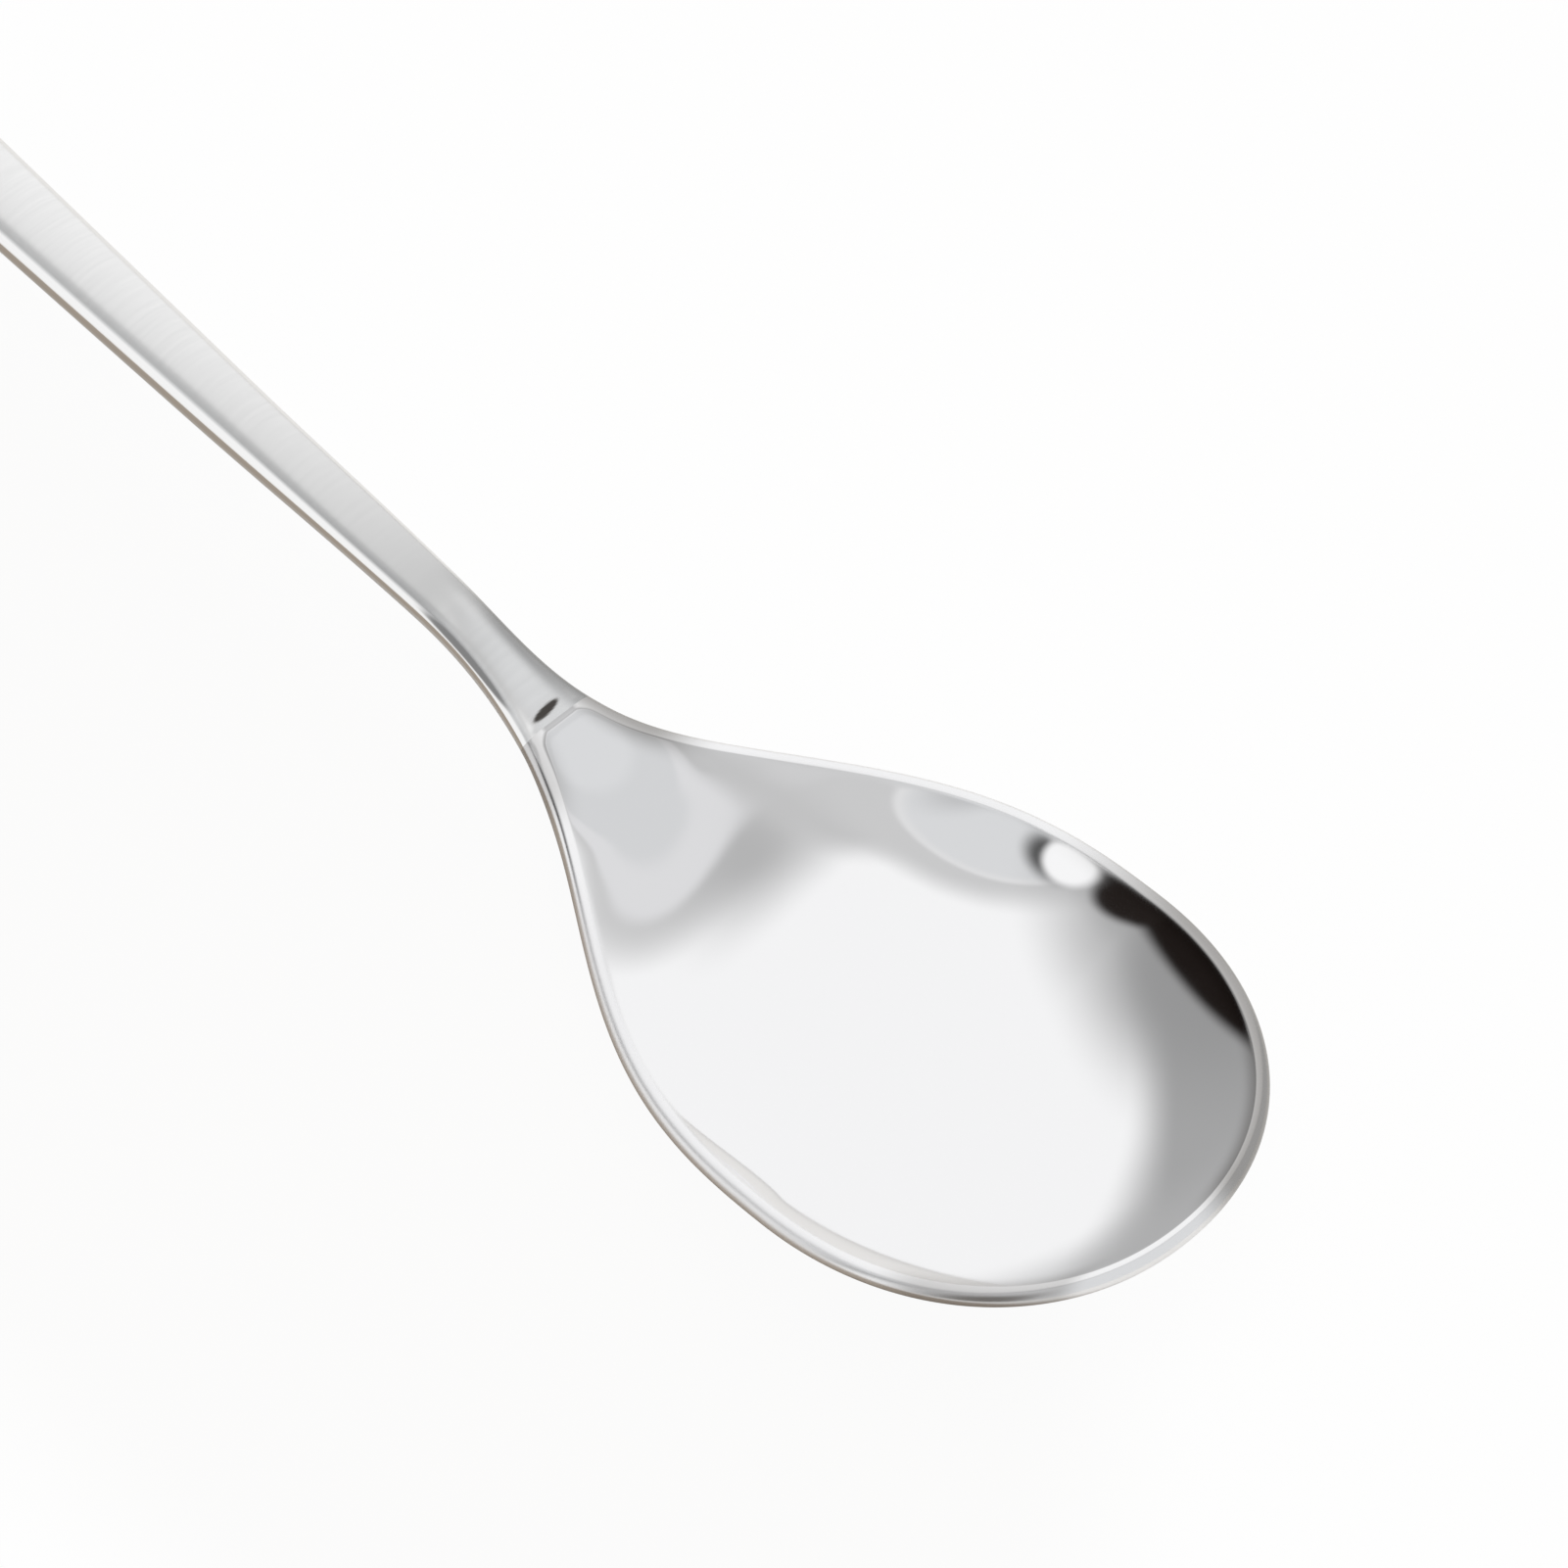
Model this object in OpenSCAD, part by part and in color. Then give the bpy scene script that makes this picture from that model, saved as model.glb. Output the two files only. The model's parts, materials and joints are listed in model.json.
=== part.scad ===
/* [Bowl] */
// Width of the bowl at its widest place, mm
bowl_width = 40; // [36:0.5:44]
// Length from the tip to the joint line across the neck, mm
bowl_length = 63; // [58:0.5:68]
// Depth of the hollow below the rim, mm
bowl_depth = 6.5; // [5.5:0.25:7.5]
// Distance of the widest place from the tip, as a share of the bowl length
widest_share = 0.352; // [0.32:0.002:0.38]
// Distance of the deepest place from the tip, as a share of the bowl length
deepest_share = 0.45; // [0.42:0.005:0.48]
// Fullness of the rounded tip, where 2 is a plain ellipse
tip_power = 2.1; // [1.9:0.05:2.4]
// How far back the flank stays full before it draws in
flank_power = 2.65; // [2.3:0.05:2.9]
// How softly the flank runs out into the neck
flank_ease = 4; // [3.4:0.1:4.4]
// Thickness of the pressed sheet, rounded over at the rim, mm
sheet = 1.5; // [1.2:0.1:1.8]

/* [Neck] */
// Width at the narrowest place, mm
neck_width = 4.6; // [4.2:0.1:5.6]
// Thickness of the neck's edges, mm
neck_thickness = 2.6; // [2.3:0.1:3]
// Distance from the joint line back to the narrowest place, mm
neck_reach = 13; // [11:0.5:15]
// Height of the handle's line above the rim at the narrowest place, mm
neck_rise = 5.2; // [4:0.1:6.5]
// Extra depth of the keel that stiffens the neck from below, mm
neck_keel = 0.8; // [0.6:0.1:1.2]

/* [Handle] */
// Length from the joint line to the end, mm
handle_length = 122; // [105:1:140]
// Width that the taper reaches at the end, mm
handle_width = 9.6; // [8:0.1:11]
// Height of the flat top above the widest line of the edge, mm
handle_crown = 1.8; // [1.5:0.1:2.1]
// Depth of the flat underside below the widest line of the edge, mm
handle_heel = 1.2; // [1.1:0.1:1.5]
// Length over which the bar swells behind the neck, mm
swell_reach = 25; // [15:1:35]
// Slope of the straight stretch above the plane of the rim, degrees
handle_slope = 9.1; // [7:0.1:10.5]
// Straight stretch behind the joint line before the handle arcs down, mm
straight_reach = 62; // [55:1:70]
// Radius of the downward arc, mm
arc_radius = 240; // [200:5:400]
// Length over which the end rounds off, mm
end_round = 5.5; // [4:0.25:7]

/* [Joint] */
// Diameter of the tang that the handle is brazed onto, mm
tang_diameter = 1.6; // [1.3:0.1:1.7]
// Length of the tang behind the joint line, mm
tang_length = 6; // [4.5:0.5:7]
// Clearance round the tang that the braze fills, mm
braze_gap = 0.05; // [0.03:0.01:0.08]
// Depth of the fine groove along the joint line, mm
groove_depth = 0.16; // [0.1:0.02:0.22]
// Width of the fine groove along the joint line, mm
groove_width = 0.7; // [0.5:0.05:0.9]

/* [Hidden] */

// Every station s is a distance behind the tip, measured along the rim's plane.
half_bowl = bowl_width / 2;
half_neck = neck_width / 2;
widest_at = bowl_length * widest_share;
deepest_at = bowl_length * deepest_share;
neck_at = bowl_length + neck_reach;
end_at = bowl_length + handle_length;
end_from = end_at - end_round;
arc_from = bowl_length + straight_reach;
// The trough of the bowl runs out just before the joint line.
trough_stop = 0.5;
trough_to = bowl_length - trough_stop;
// The crank lifts the neck out of the rim's plane up to the handle's line.
crank_lead = 10;
crank_trail = 1;
crank_from = bowl_length - crank_lead;
crank_to = neck_at + crank_trail;
// The sheet thickens into the neck between these two stations.
sheet_lead = 13;
bar_trail = 9;
sheet_to = bowl_length - sheet_lead;
bar_from = bowl_length + bar_trail;
// The keel grows under the bowl's back, holds past the tang and fades out.
keel_lead = 14;
keel_trail = 34;
keel_from = bowl_length - keel_lead;
keel_full = bowl_length + tang_length;
keel_to = bowl_length + keel_trail;
taper = (handle_width - neck_width) / 2 / (end_at - neck_at);
probe = 0.02;

front_rings = 26;
flank_rings = 30;
bowl_sides = 32;
handle_sides = 16;

// Smooth step from 0 to 1 with no bend at either end
function blend(t) = let (c = min(max(t, 0), 1)) c * c * c * (10 - 15 * c + 6 * c * c);

// Plan outline: a superellipse round the tip, a flank that draws in to the
// straight taper of the bar, and a rounded end.
function tip_half(s) =
    let (t = (widest_at - s) / widest_at)
    half_bowl * pow(max(1 - pow(t, tip_power), 0), 1 / tip_power);
function flank_share(s) = min(max((s - widest_at) / (neck_at - widest_at), 0), 1);
function bar_half(s) = half_neck + taper * (s - neck_at) * pow(flank_share(s), 2);
function flank_half(s) =
    bar_half(s) + (half_bowl - half_neck) * pow(1 - pow(flank_share(s), flank_power), flank_ease);
function end_share(s) =
    let (t = max((s - end_from) / end_round, 0))
    sqrt(max(1 - t * t, 0));
function half_width(s) = s < widest_at ? tip_half(s) : flank_half(s) * end_share(s);
function width_slope(s) = (half_width(s + probe) - half_width(s - probe)) / (2 * probe);

// Side profile of the edge line: level along the rim, cranked up through the
// neck, then below the straight top of the swelling bar and arcing down.
function handle_line(s) = neck_rise + tan(handle_slope) * (s - neck_at);
function swell(s) = blend((s - neck_at) / swell_reach);
function droop(s) =
    pow(max(s - arc_from, 0), 2) / (2 * arc_radius) + (handle_crown - neck_thickness / 2) * swell(s);
function spine(s) = handle_line(s) * blend((s - crank_from) / (crank_to - crank_from)) - droop(s);
function lean(s) = atan((spine(s + probe) - spine(s - probe)) / (2 * probe));

// The hollow: every section is a parabola, and the trough along the middle has
// the same curvature on both sides of its deepest place.
trough_power = pow((trough_to - deepest_at) / deepest_at, 2);
function hollow(s) =
    let (t = min((s - deepest_at) / (trough_to - deepest_at), 1))
    s < deepest_at ? bowl_depth * (1 - pow(1 - s / deepest_at, 2))
    : bowl_depth * pow(1 - t * t, trough_power);
function hollow_slope(s) = (hollow(s + probe) - hollow(s - probe)) / (2 * probe);

// Heights above and below the edge line, each rolled off in a quarter circle
function bar_share(s) = blend((s - sheet_to) / (bar_from - sheet_to));
function edge_half(s) = (sheet + (neck_thickness - sheet) * bar_share(s)) / 2;
function top_height(s) = edge_half(s) + (handle_crown - neck_thickness / 2) * swell(s);
function under_height(s) = edge_half(s) + (handle_heel - neck_thickness / 2) * swell(s);
function keel(s) =
    neck_keel * blend((s - keel_from) / keel_lead)
    * (1 - blend((s - keel_full) / (keel_to - keel_full)));
function groove(s) = groove_depth * max(1 - abs(s - bowl_length) / (groove_width / 2), 0);
function roll(gap, radius) = gap >= radius ? 1 : sqrt(1 - pow(1 - max(gap, 0) / radius, 2));

// Distance in plan from the point at share u of the half width to the outline
function tip_gap(s, y) =
    let (t = (widest_at - s) / widest_at, v = y / half_bowl)
    let (across = pow(v, tip_power - 1) / half_bowl, along = pow(t, tip_power - 1) / widest_at)
    (1 - pow(t, tip_power) - pow(v, tip_power)) / (tip_power * max(norm([across, along]), 0.001));
function plan_gap(s, u) =
    let (w = half_width(s), y = w * abs(u))
    s < widest_at ? tip_gap(s, y) : (w - y) / sqrt(1 + pow(width_slope(s), 2));

// Slopes of the middle surface, and how much longer its wall is than its plan
function slope_along(s, u) =
    -hollow_slope(s) * (1 - u * u) - 2 * hollow(s) * u * u * width_slope(s) / half_width(s);
function slope_across(s, u) = 2 * hollow(s) * u / half_width(s);
function steepness(s, u) = norm([1, slope_along(s, u), slope_across(s, u)]);
function wall_gap(s, u) = plan_gap(s, u) * steepness(s, u);

// A point that stands off the middle surface, square to it
function section_point(s, u, offset) =
    let (up = offset / steepness(s, u), rise = up - hollow(s) * (1 - u * u))
    [-s + sin(lean(s)) * rise + slope_along(s, u) * up,
     half_width(s) * u - slope_across(s, u) * up,
     spine(s) + cos(lean(s)) * rise];
function top_point(s, u) =
    section_point(s, u, (top_height(s) - groove(s)) * roll(wall_gap(s, u), top_height(s)));
function under_point(s, u) =
    let (height = under_height(s) + keel(s) * (1 - u * u))
    section_point(s, u, -height * roll(wall_gap(s, u), under_height(s)));

// One closed ring: over the top from one edge to the other, back underneath
function ring(s, sides) = concat(
    [for (j = [0:sides]) top_point(s, -cos(180 * j / sides))],
    [for (j = [1:sides - 1]) under_point(s, cos(180 * j / sides))]
);

// Skin from a point through the rings to a flat face on the last ring
function skin_points(apex, stations, sides) =
    concat([apex], [for (s = stations) each ring(s, sides)]);
function skin_faces(rows, m) = concat(
    [for (j = [0:m - 1]) [0, 1 + j, 1 + (j + 1) % m]],
    [for (i = [0:rows - 2], j = [0:m - 1], half = [0, 1])
        let (a = 1 + i * m + j, b = 1 + i * m + (j + 1) % m)
        half == 0 ? [a, a + m, b] : [b, a + m, b + m]],
    [[for (j = [m - 1:-1:0]) 1 + (rows - 1) * m + j]]
);
function turned(faces) = [for (f = faces) [for (k = [len(f) - 1:-1:0]) f[k]]];

// Evenly spaced stations after the first place, up to and with the last
function steps(from, to, count) = [for (i = [1:count]) from + (to - from) * i / count];

groove_half = groove_width / 2;
bowl_stations = concat(
    [for (i = [1:front_rings]) widest_at * (1 - cos(90 * i / front_rings))],
    steps(widest_at, bowl_length - groove_half, flank_rings),
    [bowl_length]
);
swell_to = neck_at + swell_reach;
handle_stations = concat(
    [for (i = [7:-1:1]) end_from + end_round * sin(90 * i / 8)],
    [end_from],
    steps(end_from, arc_from, 9),
    steps(arc_from, swell_to, 2),
    steps(swell_to, crank_to, 6),
    steps(crank_to, bowl_length + groove_half, 10),
    [bowl_length]
);
tip = [0, 0, 0];
handle_end = [-end_at, 0, spine(end_at)];

// Rest: the spoon lies on the belly of its bowl and the heel of its handle.
belly = [for (s = bowl_stations) under_point(s, 0)];
heel = [for (s = handle_stations) if (s > arc_from) under_point(s, 0)];
rest_tilt = max([for (b = belly) min([for (h = heel) atan2(h.z - b.z, b.x - h.x)])]);
function tilted(p) =
    [p.x * cos(rest_tilt) - p.z * sin(rest_tilt), p.y, p.x * sin(rest_tilt) + p.z * cos(rest_tilt)];
lift = -min([for (p = concat(belly, heel)) tilted(p).z]);
middle = (tilted(tip).x + tilted(handle_end).x) / 2;

// The tang stands square on the joint face, halfway between groove and keel.
joint_lean = lean(bowl_length);
tang_drop = (neck_keel + groove_depth) / 2;
tang_root = section_point(bowl_length, 0, -tang_drop);
tang_overlap = 1.5;
socket_lead = 0.5;

module at_rest() {
    translate([-middle, 0, lift])
        rotate([0, -rest_tilt, 0])
            children();
}

module tang_rod(radius, from, to) {
    translate(tang_root)
        rotate([0, joint_lean - 90, 0])
            translate([0, 0, from])
                cylinder(r = radius, h = to - from, $fn = 48);
}

// The straight stretch of the handle lies along its own X axis here.
function on_handle_line(p) =
    let (x = p.x + neck_at, z = p.z - neck_rise)
    [x * cos(handle_slope) - z * sin(handle_slope), p.y, x * sin(handle_slope) + z * cos(handle_slope)];

module handle_bar() {
    points = skin_points(handle_end, handle_stations, handle_sides);
    translate([-neck_at, 0, neck_rise])
        rotate([0, handle_slope, 0])
            polyhedron(
                points = [for (p = points) on_handle_line(p)],
                faces = turned(skin_faces(len(handle_stations), 2 * handle_sides)),
                convexity = 6
            );
}

module bowl() {
    color([0.86, 0.87, 0.88])
        at_rest()
            union() {
                polyhedron(
                    points = skin_points(tip, bowl_stations, bowl_sides),
                    faces = skin_faces(len(bowl_stations), 2 * bowl_sides),
                    convexity = 6
                );
                tang_rod(tang_diameter / 2, -tang_overlap, tang_length);
            }
}

module handle() {
    color([0.80, 0.79, 0.77])
        at_rest()
            difference() {
                handle_bar();
                tang_rod(tang_diameter / 2 + braze_gap, -socket_lead, tang_length + braze_gap);
            }
}

bowl();
handle();
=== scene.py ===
"""An ice cream spoon: a mirror-polished bowl brazed to a satin bar handle, lying in a white studio."""

import json
import logging
import math
from dataclasses import dataclass
from enum import Enum

import bpy
import numpy as np
from mathutils import Matrix, Vector


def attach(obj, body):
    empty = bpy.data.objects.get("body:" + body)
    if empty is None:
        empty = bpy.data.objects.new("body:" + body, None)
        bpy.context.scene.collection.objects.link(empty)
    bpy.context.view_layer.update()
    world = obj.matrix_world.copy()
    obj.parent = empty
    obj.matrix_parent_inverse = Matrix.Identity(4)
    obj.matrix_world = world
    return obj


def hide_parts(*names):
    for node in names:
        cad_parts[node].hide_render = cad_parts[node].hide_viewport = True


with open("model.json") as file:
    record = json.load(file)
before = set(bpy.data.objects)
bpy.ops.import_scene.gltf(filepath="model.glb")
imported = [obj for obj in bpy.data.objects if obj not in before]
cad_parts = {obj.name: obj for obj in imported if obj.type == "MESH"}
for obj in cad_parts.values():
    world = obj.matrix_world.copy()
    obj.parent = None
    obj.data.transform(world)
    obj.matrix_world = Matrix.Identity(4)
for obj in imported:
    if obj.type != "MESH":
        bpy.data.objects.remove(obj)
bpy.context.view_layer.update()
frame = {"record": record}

LOG = logging.getLogger("spoon")
MM = 0.001


class Node(Enum):
    """CAD nodes that the dressed pieces stand for."""

    BOWL = "bowl"
    HANDLE = "handle"


class Side(Enum):
    """Sides of the spoon as the photograph shows it; the value is the sign of u."""

    FAR = 1.0
    NEAR = -1.0


class Slot(Enum):
    """Material slots of the record."""

    POLISHED = "polished_steel"
    SATIN = "satin_steel"


def linear(code: str) -> tuple[float, float, float, float]:
    """Turn an sRGB hex colour into linear RGBA.

    Args:
        code: colour such as "#e8e9ea".

    Returns:
        Four linear values, alpha last.
    """
    parts = [int(code[k:k + 2], 16) / 255 for k in (1, 3, 5)]
    red, green, blue = (c / 12.92 if c <= 0.04045 else ((c + 0.055) / 1.055) ** 2.4 for c in parts)
    return red, green, blue, 1.0


def add_node(tree: bpy.types.NodeTree, kind: str, inputs: dict | None = None, **settings) -> bpy.types.Node:
    """Add one shader node with its settings, values and links.

    Args:
        tree: node tree that takes the node.
        kind: Blender's type name of the node.
        inputs: value, or output socket to link from, for each input's name or index.
        settings: the node's own properties.

    Returns:
        The new node.
    """
    node = tree.nodes.new(kind)
    for name, value in settings.items():
        setattr(node, name, value)
    for name, value in (inputs or {}).items():
        if isinstance(value, bpy.types.NodeSocket):
            tree.links.new(value, node.inputs[name])
        else:
            node.inputs[name].default_value = value
    return node


@dataclass(frozen=True)
class SpoonForm:
    """Sizes of the spoon in millimetres, and its surfaces as functions of station s and share u.

    A station s is a distance behind the tip along the rim's plane, and u runs from -1 at one edge to 1 at
    the other. The middle surface carries the top skin above it and the under skin below it. A lead is the
    length over which a form grows before a place, and a trail is that over which it ends behind one. The
    probe is the step of the differences, and the least values keep divisions away from 0.
    """

    bowl_width: float = 40.0
    bowl_length: float = 63.0
    bowl_depth: float = 6.5
    widest_share: float = 0.352
    deepest_share: float = 0.45
    tip_power: float = 2.1
    flank_power: float = 2.65
    flank_ease: float = 4.0
    sheet: float = 1.5
    neck_width: float = 4.6
    neck_thickness: float = 2.6
    neck_reach: float = 13.0
    neck_rise: float = 5.2
    neck_keel: float = 0.8
    handle_length: float = 122.0
    handle_width: float = 9.6
    handle_crown: float = 1.8
    handle_heel: float = 1.2
    swell_reach: float = 25.0
    handle_slope: float = 9.1
    straight_reach: float = 62.0
    arc_radius: float = 240.0
    end_round: float = 5.5
    tang_diameter: float = 1.6
    tang_length: float = 6.0
    braze_gap: float = 0.05
    groove_depth: float = 0.16
    groove_width: float = 0.7
    braze_fill: float = 0.14
    rim_stretch: float = 1.0
    bar_stretch: float = 1.8
    roll_lead: float = 8.0
    roll_trail: float = 1.0
    trough_stop: float = 0.5
    crank_lead: float = 10.0
    crank_trail: float = 1.0
    sheet_lead: float = 13.0
    bar_trail: float = 9.0
    keel_lead: float = 14.0
    keel_trail: float = 34.0
    probe: float = 0.01
    least_slope: float = 0.001
    least_width: float = 1e-6

    @property
    def widest_at(self) -> float:
        """Station of the widest place."""
        return self.bowl_length * self.widest_share

    @property
    def deepest_at(self) -> float:
        """Station of the deepest place."""
        return self.bowl_length * self.deepest_share

    @property
    def neck_at(self) -> float:
        """Station of the narrowest place."""
        return self.bowl_length + self.neck_reach

    @property
    def end_at(self) -> float:
        """Station of the handle's end."""
        return self.bowl_length + self.handle_length

    @property
    def arc_from(self) -> float:
        """Station where the handle starts to arc down."""
        return self.bowl_length + self.straight_reach

    @property
    def end_point(self) -> np.ndarray:
        """Middle of the handle's end, in the rim's frame."""
        return np.array([-self.end_at, 0.0, float(self.spine(np.array(self.end_at)))])

    @staticmethod
    def blend(t: np.ndarray) -> np.ndarray:
        """Smooth step from 0 to 1: c^3 (10 - 15 c + 6 c^2) of the clipped parameter."""
        c = np.clip(t, 0.0, 1.0)
        return c ** 3 * (10 - 15 * c + 6 * c * c)

    def half_width(self, s: np.ndarray) -> np.ndarray:
        """Half width of the plan outline.

        A superellipse round the tip, then (1 - t^power)^ease drawing in to the straight taper of the bar,
        times a quarter ellipse at the rounded end.

        Args:
            s: stations.

        Returns:
            Half widths.
        """
        t = np.clip((self.widest_at - s) / self.widest_at, 0.0, 1.0)
        tip = self.bowl_width / 2 * (1 - t ** self.tip_power) ** (1 / self.tip_power)
        t = np.clip((s - self.widest_at) / (self.neck_at - self.widest_at), 0.0, 1.0)
        taper = (self.handle_width - self.neck_width) / 2 / (self.end_at - self.neck_at)
        bar = self.neck_width / 2 + taper * (s - self.neck_at) * t * t
        draw = (1 - t ** self.flank_power) ** self.flank_ease
        flank = bar + (self.bowl_width - self.neck_width) / 2 * draw
        t = np.clip((s - self.end_at) / self.end_round + 1, 0.0, 1.0)
        return np.where(s < self.widest_at, tip, flank * np.sqrt(1 - t * t))

    def width_slope(self, s: np.ndarray) -> np.ndarray:
        """Change of the half width per station, by a difference that stays behind the tip."""
        low = np.maximum(s - self.probe, s / 2)
        return (self.half_width(s + self.probe) - self.half_width(low)) / (s + self.probe - low)

    def swell(self, s: np.ndarray) -> np.ndarray:
        """Share of the bar's swelling behind the neck."""
        return self.blend((s - self.neck_at) / self.swell_reach)

    def spine(self, s: np.ndarray) -> np.ndarray:
        """Height of the edge line: level rim, smooth crank, straight slope, then a parabolic arc down.

        Args:
            s: stations.

        Returns:
            Heights above the rim's plane.
        """
        line = self.neck_rise + math.tan(math.radians(self.handle_slope)) * (s - self.neck_at)
        start = self.bowl_length - self.crank_lead
        crank = self.blend((s - start) / (self.neck_at + self.crank_trail - start))
        arc = np.maximum(s - self.arc_from, 0.0) ** 2 / (2 * self.arc_radius)
        return line * crank - arc - (self.handle_crown - self.neck_thickness / 2) * self.swell(s)

    def lean(self, s: np.ndarray) -> np.ndarray:
        """Angle of the edge line, in radians."""
        return np.arctan((self.spine(s + self.probe) - self.spine(s - self.probe)) / (2 * self.probe))

    def hollow(self, s: np.ndarray) -> np.ndarray:
        """Depth of the trough: a parabola to the deepest place, then (1 - t^2)^power with equal curvature.

        Args:
            s: stations.

        Returns:
            Depths below the edge line.
        """
        reach = self.bowl_length - self.trough_stop - self.deepest_at
        t = np.clip((s - self.deepest_at) / reach, 0.0, 1.0)
        back = (1 - t * t) ** ((reach / self.deepest_at) ** 2)
        front = 1 - (1 - s / self.deepest_at) ** 2
        return self.bowl_depth * np.where(s < self.deepest_at, front, back)

    def heights(self, s: np.ndarray) -> tuple[np.ndarray, np.ndarray]:
        """Heights of the top skin and depths of the under skin from the middle surface.

        The sheet thickens into the neck, and the neck swells into the bar, by smooth steps.

        Args:
            s: stations.

        Returns:
            Heights above and depths below.
        """
        start = self.bowl_length - self.sheet_lead
        share = self.blend((s - start) / (self.sheet_lead + self.bar_trail))
        half = (self.sheet + (self.neck_thickness - self.sheet) * share) / 2
        swell = self.swell(s)
        neck = self.neck_thickness / 2
        return half + (self.handle_crown - neck) * swell, half + (self.handle_heel - neck) * swell

    def keel(self, s: np.ndarray) -> np.ndarray:
        """Extra depth under the neck, grown and faded by smooth steps."""
        full = self.bowl_length + self.tang_length
        grown = self.blend((s - self.bowl_length + self.keel_lead) / self.keel_lead)
        return self.neck_keel * grown * (1 - self.blend((s - full) / (self.keel_trail - self.tang_length)))

    def groove(self, s: np.ndarray) -> np.ndarray:
        """Depth of what the braze leaves of the groove along the joint line, a straight-sided V."""
        depth = self.groove_depth - self.braze_fill
        return depth * np.maximum(1 - np.abs(s - self.bowl_length) / (self.groove_width / 2), 0.0)

    def top_roll(self, s: np.ndarray) -> np.ndarray:
        """Reach of the top skin's rolled edge: its height at the rim, and longer along the bar."""
        share = self.blend((s - self.bowl_length + self.roll_lead) / (self.roll_lead + self.roll_trail))
        return self.heights(s)[0] * (self.rim_stretch + (self.bar_stretch - self.rim_stretch) * share)

    def plan_gap(self, s: np.ndarray, u: np.ndarray) -> np.ndarray:
        """Distance in plan to the outline: level over gradient at the tip, square to the flank behind it.

        Args:
            s: stations.
            u: shares of the half width.

        Returns:
            Distances in millimetres.
        """
        width = self.half_width(s)
        y = width * np.abs(u)
        p = self.tip_power
        t = np.clip((self.widest_at - s) / self.widest_at, 0.0, 1.0)
        v = y / (self.bowl_width / 2)
        slope = np.hypot(v ** (p - 1) / (self.bowl_width / 2), t ** (p - 1) / self.widest_at)
        tip = (1 - t ** p - v ** p) / (p * np.maximum(slope, self.least_slope))
        flank = (width - y) / np.hypot(1, self.width_slope(s))
        return np.maximum(np.where(s < self.widest_at, tip, flank), 0.0)

    def slopes(self, s: np.ndarray, u: np.ndarray) -> tuple[np.ndarray, np.ndarray]:
        """Slopes of the middle surface -hollow (1 - u^2) along the spoon and across it.

        Args:
            s: stations.
            u: shares of the half width.

        Returns:
            Slopes along and across.
        """
        width = np.maximum(self.half_width(s), self.least_width)
        depth = self.hollow(s)
        fall = (self.hollow(s + self.probe) - self.hollow(s - self.probe)) / (2 * self.probe)
        along = -fall * (1 - u * u) - 2 * depth * u * u * self.width_slope(s) / width
        return along, 2 * depth * u / width

    def point(self, s: np.ndarray, u: np.ndarray, offset: np.ndarray) -> np.ndarray:
        """Points that stand off the middle surface along its own normal.

        Args:
            s: stations.
            u: shares of the half width.
            offset: distances off the middle surface, positive upwards.

        Returns:
            Points in the rim's frame, millimetres, +X towards the tip.
        """
        along, across = self.slopes(s, u)
        up = offset / np.sqrt(1 + along ** 2 + across ** 2)
        rise = up - self.hollow(s) * (1 - u * u)
        lean = self.lean(s)
        x = -s + np.sin(lean) * rise + along * up
        return np.stack([x, self.half_width(s) * u - across * up, self.spine(s) + np.cos(lean) * rise], -1)

    def edge_share(self, s: np.ndarray, u: np.ndarray, radius: np.ndarray) -> np.ndarray:
        """Distance to the outline along the wall, as a share of the edge's radius, up to 1."""
        along, across = self.slopes(s, u)
        return np.clip(self.plan_gap(s, u) * np.sqrt(1 + along ** 2 + across ** 2) / radius, 0.0, 1.0)

    @staticmethod
    def ring_grid(stations: np.ndarray, sides: int) -> tuple[np.ndarray, np.ndarray, np.ndarray]:
        """Parameters of closed rings: over the top from one edge to the other, then back underneath.

        Args:
            stations: one station for each ring.
            sides: steps from edge to edge, closer together near the edges by a cosine.

        Returns:
            Stations, shares of the half width, and which points lie on the top, each (rings, 2 * sides).
        """
        step = np.arange(2 * sides)
        s, u = np.meshgrid(stations, -np.cos(np.pi * step / sides), indexing="ij")
        return s, u, np.broadcast_to(step <= sides, s.shape)

    def rings(self, stations: np.ndarray, sides: int) -> np.ndarray:
        """Points of closed rings, with the top and under skins at their heights off the middle surface.

        Each skin rolls off at the edge in a quarter ellipse, height times sqrt(1 - (1 - share)^2).

        Args:
            stations: one station for each ring.
            sides: steps from edge to edge.

        Returns:
            Points of shape (rings, 2 * sides, 3) in the rim's frame.
        """
        s, u, above = self.ring_grid(stations, sides)
        top, under = self.heights(s)
        radius = np.where(above, self.top_roll(s), under)
        full = np.where(above, top - self.groove(s), -under - self.keel(s) * (1 - u * u))
        share = self.edge_share(s, u, radius)
        return self.point(s, u, full * np.sqrt(1 - (1 - share) ** 2))

    def joint_rings(self, outline: np.ndarray, radius: float, length: float) -> tuple[np.ndarray, np.ndarray]:
        """Rings on the joint face: the outline drawn in to a round, then carried along the round's axis.

        Args:
            outline: last ring of the skin, in the plane of the joint face.
            radius: radius of the tang or of its socket.
            length: length of the tang or of its socket.

        Returns:
            The two rings of the round, and the middle of its far end.
        """
        joint = np.array(self.bowl_length)
        lean = float(self.lean(joint))
        drop = (self.neck_keel + self.groove_depth) / 2
        root = self.point(joint, np.array(0.0), np.array(-drop))
        along = np.array([-math.cos(lean), 0.0, math.sin(lean)])
        across = np.array([0.0, 1.0, 0.0])
        up = np.array([math.sin(lean), 0.0, math.cos(lean)])
        turn = np.arctan2((outline - root) @ up, outline @ across)[:, None]
        circle = root + radius * (np.cos(turn) * across + np.sin(turn) * up)
        return np.stack([circle, circle + length * along]), root + length * along


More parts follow.
